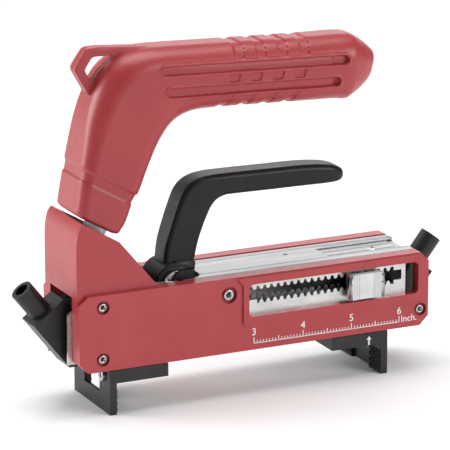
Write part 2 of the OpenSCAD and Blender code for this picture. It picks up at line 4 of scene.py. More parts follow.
import bmesh
import bpy
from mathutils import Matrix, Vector


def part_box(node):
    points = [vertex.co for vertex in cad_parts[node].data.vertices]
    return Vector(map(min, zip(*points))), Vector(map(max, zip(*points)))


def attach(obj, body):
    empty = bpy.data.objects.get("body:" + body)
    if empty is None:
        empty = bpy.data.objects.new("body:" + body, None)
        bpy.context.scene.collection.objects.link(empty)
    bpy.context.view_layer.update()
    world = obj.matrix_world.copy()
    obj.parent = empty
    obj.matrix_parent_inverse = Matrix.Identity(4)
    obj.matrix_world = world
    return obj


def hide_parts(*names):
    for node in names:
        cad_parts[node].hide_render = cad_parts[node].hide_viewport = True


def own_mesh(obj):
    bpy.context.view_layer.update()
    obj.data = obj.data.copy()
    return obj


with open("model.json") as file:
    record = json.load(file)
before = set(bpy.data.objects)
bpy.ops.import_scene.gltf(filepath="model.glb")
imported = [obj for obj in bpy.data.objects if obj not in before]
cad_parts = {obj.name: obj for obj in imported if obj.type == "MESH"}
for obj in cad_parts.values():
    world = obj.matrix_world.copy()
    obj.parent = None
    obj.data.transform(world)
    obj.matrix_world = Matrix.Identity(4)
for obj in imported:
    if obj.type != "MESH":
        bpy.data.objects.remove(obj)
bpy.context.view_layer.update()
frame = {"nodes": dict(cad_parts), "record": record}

scene = bpy.context.scene
MM = 0.001


# ---- Camera, floor and studio light ----
# A long lens from the left and a little above, as in a catalogue. The tool stands on
# pale seamless paper between soft boxes at its left, above it, in front of it and behind it.
def linear(colour):
    """A colour's linear RGBA from its sRGB hex value."""
    parts = [int(colour[i:i + 2], 16) / 255 for i in (1, 3, 5)]
    return [p / 12.92 if p <= 0.04045 else ((p + 0.055) / 1.055) ** 2.4 for p in parts] + [1]


def put(tree, kind, sockets=None, **settings):
    """Adds a node with its settings, and sets its sockets or links them to other nodes' outputs."""
    node = tree.nodes.new("ShaderNode" + kind)
    for name, value in settings.items():
        setattr(node, name, value)
    for name, value in (sockets or {}).items():
        if isinstance(value, bpy.types.NodeSocket):
            tree.links.new(value, node.inputs[name])
        else:
            node.inputs[name].default_value = value
    return node


def new_material(name, **constants):
    """An empty material with its shader, whose constants are set on the shader's own sockets."""
    made = bpy.data.materials.new(name)
    made.use_nodes = True
    made.node_tree.nodes.clear()
    shader = put(made.node_tree, "BsdfPrincipled",
                 {key.replace("_", " "): value for key, value in constants.items()})
    put(made.node_tree, "OutputMaterial", {"Surface": shader.outputs[0]})
    return made, made.node_tree, shader


def link(piece):
    scene.collection.objects.link(piece)
    return piece


def seamless_paper():
    """Matt paper with a faint mottle."""
    made, tree, shader = new_material("seamless_paper", Roughness=0.9)
    place = put(tree, "NewGeometry").outputs["Position"]
    mottle = put(tree, "TexNoise", {"Vector": place, "Scale": 40, "Detail": 3})
    tint = put(tree, "Mix", {0: mottle.outputs[0], 6: linear("#fafafa"), 7: linear("#fcfcfc")},
               data_type="RGBA")
    tree.links.new(tint.outputs[2], shader.inputs["Base Color"])
    return made


def soft_box(name, place, aim, size, power):
    """A rectangular area lamp turned towards a point."""
    lamp = bpy.data.lights.new(name, "AREA")
    lamp.shape = "RECTANGLE"
    lamp.size, lamp.size_y = size
    lamp.energy = power
    made = link(bpy.data.objects.new(name, lamp))
    made.location = place
    made.rotation_euler = (Vector(aim) - Vector(place)).to_track_quat("-Z", "Y").to_euler()


scene.view_settings.view_transform = "Standard"
camera_data = bpy.data.cameras.new("camera")
camera_data.lens = 258
camera_data.sensor_width = 36
camera = link(bpy.data.objects.new("camera", camera_data))
camera.location = (-0.62419, -1.29621, 0.48305)
camera.rotation_euler = (math.radians(74.21), 0, math.radians(-25.583))
scene.camera = camera

world = bpy.data.worlds.new("studio")
world.use_nodes = True
studio = world.node_tree
studio.nodes.clear()
seen = put(studio, "LightPath").outputs["Is Camera Ray"]
fill_light, white_paper = 0.2, 1.05
glow = put(studio, "MapRange", {0: seen, 3: fill_light, 4: white_paper})
backdrop = put(studio, "Background", {"Color": (1, 1, 1, 1), "Strength": glow.outputs[0]})
put(studio, "OutputWorld", {"Surface": backdrop.outputs[0]})
scene.world = world
soft_box("left_box", (-1.25, 0.75, 0.5), (0, 0, 0.09), (1.0, 0.9), 19)
soft_box("top_box", (0.1, 0.15, 1.5), (0, 0, 0.09), (1.3, 1.0), 18)
soft_box("front_box", (0.95, -1.25, 0.7), (0, 0, 0.09), (0.9, 0.8), 14)
soft_box("back_box", (0.75, 1.7, 0.62), (0, 0, 0.09), (2.4, 0.7), 9)

floor_mesh = bpy.data.meshes.new("floor")
floor_mesh.from_pydata([(-9, -9, 0), (9, -9, 0), (9, 9, 0), (-9, 9, 0)], [], [(0, 1, 2, 3)])
floor_mesh.materials.append(seamless_paper())
link(bpy.data.objects.new("floor", floor_mesh))


# ---- Frame ----
# A channel of 4 mm steel plate whose left end rises into the tower that carries the handle.
# It is cut, folded, welded and powder coated red, with its edges broken before coating.
def speckle(tree, size_mm, detail=2, stretch=(1, 1, 1)):
    """Noise in the piece's own millimetres, with grains of about the given size."""
    place = put(tree, "TexCoord").outputs["Object"]
    scaled = put(tree, "Mapping", {"Vector": place, "Scale": [s / (size_mm * MM) for s in stretch]})
    return put(tree, "TexNoise", {"Vector": scaled.outputs[0], "Scale": 1, "Detail": detail}).outputs[0]


def spread(tree, source, low, high):
    """Maps the middle of a noise to a range of values."""
    return put(tree, "MapRange", {0: source, 1: 0.35, 2: 0.65, 3: low, 4: high}).outputs[0]


def two_tone(tree, shader, source, dark, light):
    """Clouds of a darker and a lighter tint, mixed by a noise."""
    share = put(tree, "MapRange", {0: source, 1: 0.3, 2: 0.7})
    tint = put(tree, "Mix", {0: share.outputs[0], 6: linear(dark), 7: linear(light)}, data_type="RGBA")
    tree.links.new(tint.outputs[2], shader.inputs["Base Color"])


def relief(tree, shader, source, height_mm):
    """Raises the surface by a noise, as much as a height in millimetres."""
    bump = put(tree, "Bump", {"Height": source, "Distance": height_mm * MM, "Strength": 1.0})
    tree.links.new(bump.outputs[0], shader.inputs["Normal"])


def powder_coat(name, dark, light):
    """Polyester powder coat on steel: satin, with orange peel about a millimetre across."""
    made, tree, shader = new_material(name, IOR=1.5, Specular_IOR_Level=0.5)
    two_tone(tree, shader, speckle(tree, 14, 4), dark, light)
    roughness = spread(tree, speckle(tree, 3), 0.3, 0.37)
    tree.links.new(roughness, shader.inputs["Roughness"])
    relief(tree, shader, speckle(tree, 0.9, 3), 0.02)
    return made


def mesh_object(name, vertices, faces, material, smooth_deg=30):
    """A new piece from its points and faces, smooth across edges flatter than the given angle."""
    mesh = bpy.data.meshes.new(name)
    mesh.from_pydata(vertices, [], faces)
    mesh.materials.append(material)
    mesh.shade_smooth()
    mesh.set_sharp_from_angle(angle=math.radians(smooth_deg))
    return link(bpy.data.objects.new(name, mesh))


def settled(piece):
    """Applies a piece's modifiers, so that what is left is a plain mesh."""
    bpy.context.view_layer.update()
    shape = piece.evaluated_get(bpy.context.evaluated_depsgraph_get())
    mesh = bpy.data.meshes.new_from_object(shape)
    piece.modifiers.clear()
    piece.data = mesh
    return piece


def break_edges(piece, width_mm, segments=2, angle_deg=35):
    bevel = piece.modifiers.new("edge", "BEVEL")
    bevel.width = width_mm * MM
    bevel.segments = segments
    bevel.limit_method = "ANGLE"
    bevel.angle_limit = math.radians(angle_deg)
    bevel.harden_normals = True
    return piece


body_of = {n: body for body, nodes in frame["record"]["behaviour"]["bodies"].items() for n in nodes}


def stands_for(piece, node):
    """The piece rides with a CAD node's body and is shown in its place, where the node is hidden."""
    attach(piece, body_of[node])
    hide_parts(node)
    return piece


def finished(node, material, edge_mm, angle_deg=35):
    """A copy of a CAD piece with its sharp edges broken."""
    shape = bmesh.new()
    shape.from_mesh(frame["nodes"][node].data)
    bmesh.ops.remove_doubles(shape, verts=shape.verts, dist=0.002 * MM)
    bmesh.ops.dissolve_limit(shape, angle_limit=math.radians(0.4), verts=shape.verts,
                             edges=shape.edges)
    points = [v.co.copy() for v in shape.verts]
    faces = [[v.index for v in f.verts] for f in shape.faces]
    shape.free()
    piece = mesh_object(node + "_finished", points, faces, material)
    if edge_mm:
        break_edges(piece, edge_mm, angle_deg=angle_deg)
    return stands_for(piece, node)


red_coat = powder_coat("powder_coat_red", "#a5353a", "#ac3b40")
finished("frame", red_coat, 0.5)

# Every place below is given from the rule's zero, the tool's middle plane and the frame's
# underside, in millimetres. The frame's left end lies 11.3 mm to the left of the rule's zero.
frame_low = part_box("frame")[0]
rule_zero = frame_low.x + 11.3 * MM
underside = frame_low.z


def at(x, y, z):
    """A place in the scene, in metres, from one in the tool's own millimetres."""
    return Vector((rule_zero + x * MM, y * MM, underside + z * MM))


# ---- Covers, with the rule on the front one ----
# Two plates of 2.4 mm steel, powder coated like the frame and screwed to its walls. The rule is
# screen printed in white ink: sixteenths of an inch from 3 to 6, with a taller line each half.
cover_coat = powder_coat("powder_coat_red_cover", "#a8373c", "#b03d42")
for side in ("front", "rear"):
    finished(side + "_cover", cover_coat, 0.45)


def screen_ink(name, colour):
    """White ink, printed thin: matt, with the ragged cover of a screen print."""
    made, tree, shader = new_material(name, Roughness=0.6)
    two_tone(tree, shader, speckle(tree, 0.5), "#dcdcda", colour)
    return made


white_ink = screen_ink("screen_ink_white", "#f6f6f4")
INCH = 25.4
ink_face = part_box("front_cover")[0].y / MM + 0.9
ink_mm = 0.04


def box_mesh(low, high):
    """The corners and faces of a box between two corners."""
    corners = [(x, y, z) for x in (low[0], high[0]) for y in (low[1], high[1]) for z in (low[2], high[2])]
    return corners, [(0, 1, 3, 2), (4, 6, 7, 5), (0, 4, 5, 1), (2, 3, 7, 6), (0, 2, 6, 4), (1, 5, 7, 3)]


def joined(name, parts, material):
    """One piece from several closed shapes, each given as points and faces."""
    points, faces = [], []
    for some_points, some_faces in parts:
        faces += [[len(points) + i for i in face] for face in some_faces]
        points += some_points
    return mesh_object(name, points, faces, material)


def printed(name, bars, material):
    """Flat bars of ink on the front cover, each from x0 to x1 and from z0 to z1."""
    parts = [box_mesh(at(x0, ink_face - ink_mm, z0), at(x1, ink_face + ink_mm, z1))
             for x0, x1, z0, z1 in bars]
    return joined(name, parts, material)


line_w, fine_w = 0.42, 0.36
base_z = 2.9
inch_line, half_line, fine_line = 3.1, 2.4, 1.6
bars = [(3 * INCH - line_w / 2, 6 * INCH + line_w / 2, base_z, base_z + line_w)]
for i in range(49):
    x = (3 + i / 16) * INCH
    tall = inch_line if i % 16 == 0 else half_line if i % 8 == 0 else fine_line
    half_w = (line_w if i % 8 == 0 else fine_w) / 2
    bars.append((x - half_w, x + half_w, base_z + 0.1, base_z + tall))
rule = printed("rule_lines", bars, white_ink)
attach(rule, "root")


def print_text(name, text, x, z, height):
    """A figure or word in ink, centred on x with its foot at z."""
    curve = bpy.data.curves.new(name, "FONT")
    curve.body = text
    curve.size = height * MM / 0.69
    curve.align_x = "CENTER"
    curve.extrude = ink_mm * MM
    curve.offset = 0.03 * MM
    flat = link(bpy.data.objects.new(name + "_curve", curve))
    flat.location = at(x, ink_face, z)
    flat.rotation_euler = (math.radians(90), 0, 0)
    bpy.context.view_layer.update()
    mesh = bpy.data.meshes.new_from_object(flat.evaluated_get(bpy.context.evaluated_depsgraph_get()))
    mesh.transform(flat.matrix_world)
    mesh.materials.clear()
    mesh.materials.append(white_ink)
    bpy.data.objects.remove(flat)
    piece = link(bpy.data.objects.new(name, mesh))
    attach(piece, "root")


for inches in (3, 4, 5, 6):
    print_text(f"rule_figure_{inches}", str(inches), inches * INCH, 7.0, 3.4)
print_text("rule_unit", "Inch.", 157.6, 2.9, 3.1)


# ---- Socket screws ----
# Steel screws with hexagon sockets, zinc plated. The covers' lie deep in their recesses, and the
# forging die leaves their rims rounded.
def plated_steel(name, dark, light, rough, grain_mm=1.5, stretch=(1, 1, 1), bump_mm=0.004):
    """Plated or bare steel: metallic, a little cloudy, with the marks of how it was worked."""
    made, tree, shader = new_material(name, Metallic=1.0)
    two_tone(tree, shader, speckle(tree, grain_mm * 4, 4, stretch), dark, light)
    roughness = spread(tree, speckle(tree, grain_mm, 3, stretch), rough * 0.8, rough * 1.2)
    tree.links.new(roughness, shader.inputs["Roughness"])
    relief(tree, shader, speckle(tree, grain_mm / 3, 2, stretch), bump_mm)
    return made


zinc_bolt = plated_steel("zinc_plated_bolt", "#b4b4b6", "#c8c8c8", 0.26)
for node in ("handle_screws", "plate_screws", "slide_screws", "left_jaw_screws", "right_jaw_screws"):
    finished(node, zinc_bolt, 0.25)


def combined(piece, other, operation):
    """Joins another closed shape to a piece or cuts it away, and removes the other."""
    work = piece.modifiers.new("work", "BOOLEAN")
    work.operation = operation
    work.object = other
    work.solver = "EXACT"
    settled(piece)
    bpy.data.objects.remove(other)
    return piece


def cylinder_across(name, x, z, radius, y0, y1, material, sides=48):
    """A round or many-sided bar across the tool, from y0 to y1."""
    turns = [2 * math.pi * i / sides for i in range(sides)]
    ring = [(x + radius * math.cos(a), z + radius * math.sin(a)) for a in turns]
    points = [at(px, y, pz) for y in (y0, y1) for px, pz in ring]
    faces = [[i, sides + i, sides + (i + 1) % sides, (i + 1) % sides] for i in range(sides)]
    faces += [list(range(sides)), list(range(sides, 2 * sides))[::-1]]
    return mesh_object(name, points, faces, material)


# How far the parts of a cover's screw lie from the middle plane, and a distance beyond them all
screw_tip, socket_floor, head_seat, head_top, outside_y = 14.3, 16.8, 19.1, 20.6, 22


def sunk_screw(name, side, x, z, head_r, shank_r, socket_r):
    """One socket screw, with a clear gap between its head and the recess."""
    def bar(part, radius, start, end, sides=48):
        return cylinder_across(part, x, z, radius, *sorted((side * start, side * end)), zinc_bolt, sides)

    head = bar(name, head_r, head_seat, head_top)
    settled(break_edges(head, 0.45, 3))
    combined(head, bar("shank", shank_r, screw_tip, head_seat + 0.2), "UNION")
    return combined(head, bar("socket", socket_r, socket_floor, outside_y, 6), "DIFFERENCE")


def sunk_screws(node, places, head_r, shank_r, socket_r):
    """Socket screws deep in their recesses on both sides, joined into one piece."""
    parts = [sunk_screw(f"{node}_{side}_{i}", side, x, z, head_r, shank_r, socket_r)
             for side in (-1, 1) for i, (x, z) in enumerate(places)]
    together = bmesh.new()
    for part in parts:
        together.from_mesh(part.data)
    together.to_mesh(parts[0].data)
    together.free()
    for part in parts[1:]:
        bpy.data.objects.remove(part)
    return stands_for(parts[0], node)


sunk_screws("cover_screws", [(0.5, 30.2), (0.3, 5.7), (163.7, 7.9)], 2.0, 1.4, 1.2)
sunk_screws("rack_screws", [(63.6, 27.9)], 2.5, 1.9, 1.5)


# ---- Racks and sliding plates ----
# Blanked from 1.6 mm and 1.3 mm steel strip and zinc plated. The press leaves the tooth edges
# slightly rounded, and the plating gives a pale, cloudy shine.
zinc_plate = plated_steel("zinc_plated_strip", "#c2c2c1", "#d4d4d2", 0.34, 1.2, (0.4, 1, 1))
for node in ("front_rack", "rear_rack", "left_plates", "lever_arms", "front_lock", "rear_lock"):
    finished(node, zinc_plate, 0.12)


# ---- Folded top cover and sliding sheet ----
# Bright stainless sheet, brushed along its length and pressed with two long lines. The ribbed
# sheet of the right carriage slides in its slot.
stainless = plated_steel("brushed_stainless", "#b4b5b6", "#c4c5c6", 0.4, 1.5, (0.04, 1, 1), 0.0004)
for node in ("top_cover", "slide_top"):
    finished(node, stainless, 0.15)


# ---- Pins, tang and spring post ----
# Plain turned or drawn steel, lightly oiled. The tang is a flat bar that joins the tower to the
# handle, and shows as a bright strip in the gap between them.
drawn_steel = plated_steel("drawn_steel", "#9c9c9d", "#b5b5b5", 0.34, 0.8, (1, 1, 0.1))
for node in ("pivot_pin", "tang", "spring_post", "drive_pins", "arm_pins", "carriage_pins"):
    finished(node, drawn_steel, 0.2)


# ---- Handle ----
# Two moulded halves of glass-filled nylon, screwed together round the tang. Each has a rounded
# section, two long grooves, four shallow slanted finger bands, a collar and half of a lanyard loop.
def moulded_nylon(name, dark, light, rough, shine):
    """Moulded nylon with the fine spark-eroded grain of its tool: satin and even."""
    made, tree, shader = new_material(name, IOR=1.53, Specular_IOR_Level=shine)
    two_tone(tree, shader, speckle(tree, 20, 3), dark, light)
    roughness = spread(tree, speckle(tree, 1.2), rough - 0.04, rough + 0.04)
    tree.links.new(roughness, shader.inputs["Roughness"])
    relief(tree, shader, speckle(tree, 0.8, 2), 0.05)
    return made


def smooth_step(low, high, value):
    """From 0 at low to 1 at high, level at both; low may be the greater."""
    share = min(1.0, max(0.0, (value - low) / (high - low)))
    return share * share * (3 - 2 * share)


def through(rows, share):
    """A smooth curve through rows of numbers, at a share from 0 to 1 of the way along them."""
    place = share * (len(rows) - 1)
    i = min(int(place), len(rows) - 2)
    t = place - i
    a, b = rows[max(i - 1, 0)], rows[i]
    c, d = rows[i + 1], rows[min(i + 2, len(rows) - 1)]
    return [0.5 * (2 * q + (r - p) * t + (2 * p - 5 * q + 4 * r - s) * t * t
                   + (3 * q - p - 3 * r + s) * t ** 3) for p, q, r, s in zip(a, b, c, d)]


def even_shares(rows, spacing):
    """Shares along the rows whose stations lie about a spacing apart, in millimetres."""
    fine = [i / 2000 for i in range(2001)]
    middles = [[(r[0] + r[2]) / 2, (r[1] + r[3]) / 2] for r in (through(rows, s) for s in fine)]
    run = [0.0]
    for a, b in zip(middles, middles[1:]):
        run.append(run[-1] + math.dist(a, b))
    count = int(run[-1] / spacing)
    shares, i = [], 0
    for k in range(count + 1):
        while i < 2000 and run[i] < run[-1] * k / count:
            i += 1
        shares.append(fine[i])
    return shares


def half_section(width, half, corner, step):
    """Points and outward normals of half a rounded bar, from its outer to its inner edge."""
    corner = min(corner, width / 2 - 0.01, half - 0.01)
    arc = [math.radians(a) for a in range(0, 91, 2)]
    rise = 5
    flat = max(2, round(30 / step))
    found = [(0, (half - corner) * i / rise, -1, 0) for i in range(rise)]
    found += [(corner - corner * math.cos(a), half - corner + corner * math.sin(a),
               -math.cos(a), math.sin(a)) for a in arc]
    found += [(corner + (width - 2 * corner) * i / flat, half, 0, 1) for i in range(1, flat)]
    found += [(width - corner + corner * math.sin(a), half - corner + corner * math.cos(a),
               math.sin(a), math.cos(a)) for a in arc]
    found += [(width, (half - corner) * (rise - i) / rise, 1, 0) for i in range(1, rise + 1)]
    return found


# Half of the gap that shows where two moulded halves meet
parting_gap = 0.03


def lofted_half(name, rows, spacing, side, dent, end_r, material):
    """Half of a bar along stations (outer x, z, inner x, z, half width, corner radius), closed at
    its flat parting face. dent(x, z, across) is how deep a point is sunk, inwards and sideways."""
    points, faces = [], []
    first = rows[0]
    foot = Vector(((first[0] + first[2]) / 2, (first[1] + first[3]) / 2))
    for share in even_shares(rows, spacing):
        x0, z0, x1, z1, half, corner = through(rows, share)
        outer, inner = Vector((x0, z0)), Vector((x1, z1))
        far = ((outer + inner) / 2 - foot).length
        inset = end_r - math.sqrt(max(0, end_r ** 2 - (end_r - far) ** 2)) if far < end_r else 0
        along = (inner - outer).normalized()
        width = (inner - outer).length - 2 * inset
        for u, v, nu, nv in half_section(width, half - inset, corner, spacing):
            spot = outer + along * (u + inset)
            inward, sideways = dent(spot.x, spot.y, nv)
            spot = spot - along * nu * inward
            points.append(at(spot.x, side * max(parting_gap, v - nv * inward - sideways), spot.y))
    ring = len(half_section(20, 10, 3, spacing))
    count = len(points) // ring
    for k in range(count - 1):
        for i in range(ring):
            j = (i + 1) % ring
            face = [k * ring + i, k * ring + j, (k + 1) * ring + j, (k + 1) * ring + i]
            faces.append(face if side < 0 else face[::-1])
    ends = [list(range(ring))[::-1], [(count - 1) * ring + i for i in range(ring)]]
    faces += ends if side < 0 else [end[::-1] for end in ends]
    return mesh_object(name, points, faces, material, 40)


# From the neck round the bend to the nose, in the columns that lofted_half takes
handle_rows = [
    (-8.2, 72.0, 11.9, 60.4, 15, 5.0), (-7.0, 79.5, 16.2, 66.1, 15, 5.4),
    (-5.7, 87.5, 19.3, 73.1, 15, 6.0), (-4.3, 95.5, 23.4, 79.5, 15, 6.6),
    (-2.4, 105.5, 28.2, 90.0, 15, 7.6), (-0.5, 114.4, 33.2, 99.5, 15, 8.8),
    (2.8, 124.2, 37.6, 105.6, 15, 9.8), (8.0, 134.3, 41.0, 108.8, 15, 10.6),
    (16.0, 141.0, 44.6, 111.0, 15, 11.0), (27.0, 144.0, 49.0, 112.5, 15, 11.2),
    (40.0, 144.1, 54.0, 113.3, 15, 11.2), (52.0, 143.7, 60.5, 113.4, 15, 11.2),
    (66.0, 143.2, 69.0, 113.2, 15, 11.2), (88.0, 142.5, 88.0, 112.5, 15, 11.2),
    (110.0, 141.8, 108.0, 111.7, 15, 11.2), (126.0, 141.5, 123.0, 111.2, 15, 11.2),
    (131.5, 141.2, 127.6, 110.6, 14.8, 11.2), (133.5, 140.8, 129.4, 110.4, 14.4, 11.2),
    (135.0, 140.2, 130.6, 110.5, 13.9, 11.0), (140.6, 136.6, 136.6, 113.0, 10.9, 9.6),
    (145.2, 132.6, 141.0, 116.0, 7.8, 7.0), (146.0, 131.6, 141.8, 116.8, 6.8, 6.0),
    (146.2, 130.4, 142.4, 117.9, 5.4, 4.8), (145.6, 127.6, 143.4, 120.4, 2.4, 2.0),
    (145.1, 125.6, 144.2, 122.8, 0.9, 0.8)]


def off_line(x, z, start, end):
    """How far a point lies from the middle line of a long round-ended groove."""
    run = Vector(end) - Vector(start)
    share = min(1.0, max(0.0, (Vector((x, z)) - Vector(start)).dot(run) / run.length_squared))
    return (Vector((x, z)) - Vector(start) - run * share).length


groove_lines = [((35.4, 134.6), (125.5, 131.2)), ((37.6, 124.4), (121.2, 121.3))]
groove_depth, groove_end_depth, bead_height = 1.3, 0.9, 0.35
band_first, band_pitch, band_lean, band_depth = 66.7, 11.2, 0.3, 0.6
collar_depth = 0.7


def handle_dent(x, z, across):
    """How deep the handle is sunk: inwards by finger bands and collar, sideways by grooves."""
    off = min(off_line(x, z, start, end) for start, end in groove_lines)
    on_side = smooth_step(0.35, 0.6, across)
    grooves = on_side * smooth_step(2.3, 1.6, off)
    bead = on_side * smooth_step(2.1, 2.6, off) * smooth_step(3.5, 3.0, off)
    floor = groove_depth + groove_end_depth * smooth_step(118, 122, x)
    sideways = grooves * floor - bead_height * bead
    inward = 0
    for i in range(4):
        left = band_first + band_pitch * i + band_lean * (z - 127.5)
        band = smooth_step(left - 0.1, left + 0.3, x) * smooth_step(left + 5.1, left + 4.7, x)
        inward += band_depth * band * smooth_step(2.9, 3.5, off)
    if x < 30:
        up_neck = x * 0.5 + z * 0.866
        inward += collar_depth * smooth_step(73.2, 74.3, up_neck) * smooth_step(78.9, 78.2, up_neck)
    return inward, sideways


def flat_shape(name, outlines, y0, y1, edge_mm, material):
    """A plate from outlines in X and Z, the first its edge and the others holes, with round edges."""
    curve = bpy.data.curves.new(name, "CURVE")
    curve.dimensions = "2D"
    curve.fill_mode = "BOTH"
    curve.extrude = (y1 - y0) / 2 * MM - edge_mm * MM
    curve.bevel_depth = edge_mm * MM
    curve.bevel_resolution = 3
    curve.offset = -edge_mm * MM
    for outline in outlines:
        line = curve.splines.new("POLY")
        line.points.add(len(outline) - 1)
        line.use_cyclic_u = True
        for spot, (x, z) in zip(line.points, outline):
            spot.co = (x * MM, z * MM, 0, 1)
    flat = link(bpy.data.objects.new(name + "_curve", curve))
    flat.rotation_euler = (math.radians(90), 0, 0)
    flat.location = at(0, (y0 + y1) / 2, 0)
    bpy.context.view_layer.update()
    mesh = bpy.data.meshes.new_from_object(flat.evaluated_get(bpy.context.evaluated_depsgraph_get()))
    mesh.transform(flat.matrix_world)
    bpy.data.objects.remove(flat)
    tidy = bmesh.new()
    tidy.from_mesh(mesh)
    bmesh.ops.remove_doubles(tidy, verts=tidy.verts, dist=0.001 * MM)
    bmesh.ops.recalc_face_normals(tidy, faces=tidy.faces)
    tidy.to_mesh(mesh)
    tidy.free()
    mesh.materials.clear()
    mesh.materials.append(material)
    mesh.shade_smooth()
    mesh.set_sharp_from_angle(angle=math.radians(40))
    return link(bpy.data.objects.new(name, mesh))


def rounded(corners, radius, steps=5):
    """An outline whose corners are cut round, each by at most the radius from its corner."""
    found = []
    for i, here in enumerate(corners):
        before, after = Vector(corners[i - 1]), Vector(corners[(i + 1) % len(corners)])
        spot = Vector(here)
        reach = min(radius, (before - spot).length / 2.2, (after - spot).length / 2.2)
        start = spot + (before - spot).normalized() * reach
        end = spot + (after - spot).normalized() * reach
        for k in range(steps + 1):
            t = k / steps
            found.append(tuple(start * (1 - t) ** 2 + spot * 2 * t * (1 - t) + end * t * t))
    return found


red_nylon = moulded_nylon("glass_filled_nylon_red", "#a03136", "#a8373c", 0.38, 0.5)
loop_edge = rounded([(2.6, 124), (-4.8, 137), (1.4, 145.9), (7, 146.2), (36, 144.0), (30, 138), (20, 125)], 2)
loop_hole = rounded([(4.4, 141.9), (0.5, 136.3), (3.9, 130), (8.2, 135.6), (15.4, 140.4), (12.8, 141.9)], 1.5)
screw_places = [(11.9, 72.8), (21.5, 89.4), (20, 124), (64, 128), (120, 126)]
loop_half = 3
recess_r, recess_floor, recess_mouth = 3.3, 12.6, 16
for side, name in ((-1, "handle_front"), (1, "handle_rear")):
    shell = lofted_half(name + "_shell", handle_rows, 0.5, side, handle_dent, 1.8, red_nylon)
    y0, y1 = sorted((side * parting_gap, side * loop_half))
    web = flat_shape(name + "_web", [loop_edge, loop_hole], y0, y1, 0.4, red_nylon)
    combined(shell, web, "UNION")
    if side > 0:
        for i, (x, z) in enumerate(screw_places):
            recess = cylinder_across(f"recess_{i}", x, z, recess_r, recess_floor, recess_mouth, red_nylon)
            combined(shell, recess, "DIFFERENCE")
    stands_for(shell, name)


# ---- Lever ----
# Moulded in one piece from black glass-filled nylon: a round hub between the frame's walls, a stepped
# foot on top of it, and a bent bar with softly rounded edges that the fingers squeeze.
black_nylon = moulded_nylon("glass_filled_nylon_black", "#141415", "#19191a", 0.38, 0.26)
# From the hub round the bend to the free end
lever_rows = [
    (37.6, 41.0, 52.8, 41.0, 7, 2.4), (38.6, 50.0, 55.0, 50.6, 7, 2.4),
    (41.0, 58.5, 57.8, 58.4, 7, 2.4), (44.2, 67.6, 60.3, 63.8, 7, 2.5),
    (47.0, 74.2, 62.0, 66.8, 7, 2.6), (50.6, 78.2, 63.9, 68.9, 7, 2.6),
    (55.6, 80.5, 66.2, 70.3, 7, 2.6), (62.0, 81.4, 69.2, 71.1, 7, 2.6),
    (70.0, 81.5, 73.0, 71.2, 7, 2.6), (90.0, 81.2, 90.0, 71.0, 7, 2.6),
    (110.0, 80.8, 110.0, 70.8, 7, 2.6), (121.0, 79.8, 120.6, 70.6, 6.9, 2.7),
    (126.5, 78.6, 126.0, 70.6, 6.4, 2.8), (129.8, 76.9, 129.4, 70.9, 5.2, 2.6),
    (131.4, 75.0, 131.2, 72.0, 3.0, 1.4), (131.7, 73.9, 131.7, 73.3, 0.9, 0.3)]


def no_dent(x, z, across):
    """The lever's surface is plain."""
    return 0, 0


lever = lofted_half("lever_bar", lever_rows, 0.9, -1, no_dent, 0.5, black_nylon)
lever_rear = lofted_half("lever_rear", lever_rows, 0.9, 1, no_dent, 0.5, black_nylon)
for half_bar in (lever, lever_rear):
    for vertex in half_bar.data.vertices:
        if abs(vertex.co.y) < 1.5 * parting_gap * MM:
            vertex.co.y = 0
shape = bmesh.new()
shape.from_mesh(lever.data)
shape.from_mesh(lever_rear.data)
bmesh.ops.delete(shape, geom=[f for f in shape.faces if all(abs(v.co.y) < 0.001 * MM for v in f.verts)],
                 context="FACES_ONLY")
bmesh.ops.remove_doubles(shape, verts=shape.verts, dist=0.001 * MM)
shape.to_mesh(lever.data)
shape.free()
bpy.data.objects.remove(lever_rear)


def foot_block(name, outline, half):
    """One step of the lever's foot, the same on both sides of the middle plane."""
    return flat_shape(name, [rounded(outline, 1.0)], -half, half, 0.4, black_nylon)


hub_x, hub_z, hub_r, hub_half = 41.7, 33.3, 9.4, 8.8
hub = cylinder_across("lever_hub", hub_x, hub_z, hub_r, -hub_half, hub_half, black_nylon)
settled(break_edges(hub, 0.5))
combined(lever, hub, "UNION")
foot_edge = [(42, 36.5), (51.6, 36.5), (52.4, 42), (51.6, 43.4), (42, 43.4)]
step_edge = [(39, 34.2), (50.4, 34.2), (50.6, 39.2), (49.8, 39.8), (43, 39.7), (41.2, 38.8), (39.6, 36.5)]
combined(lever, foot_block("lever_foot", foot_edge, 8.6), "UNION")
combined(lever, foot_block("lever_step", step_edge, 12), "UNION")
pivot_x, pivot_z, bore_r = 42.5, 31.5, 2.05
combined(lever, cylinder_across("lever_bore", pivot_x, pivot_z, bore_r, -20, 20, black_nylon), "DIFFERENCE")
stands_for(lever, "lever")


# ---- Screw guides and carriage ----
# Machined from aluminium bar and anodised black: a slanted tube on a block that is cut level
# above the jaw, and the carriage that the right one is pinned in.
def black_anodised(name, dark, light, rough):
    """Anodised aluminium, dyed black: dull, with fine mill lines along the tool."""
    made, tree, shader = new_material(name, IOR=1.55, Metallic=0.25)
    two_tone(tree, shader, speckle(tree, 6, 3), dark, light)
    roughness = spread(tree, speckle(tree, 0.8, 2, (0.15, 1, 1)), rough - 0.06, rough + 0.06)
    tree.links.new(roughness, shader.inputs["Roughness"])
    relief(tree, shader, speckle(tree, 0.5, 2, (0.15, 1, 1)), 0.01)
    return made


anodised = black_anodised("anodised_aluminium_black", "#151516", "#1c1c1e", 0.42)
for node in ("left_guide", "right_guide", "right_carriage"):
    finished(node, anodised, 0.35)


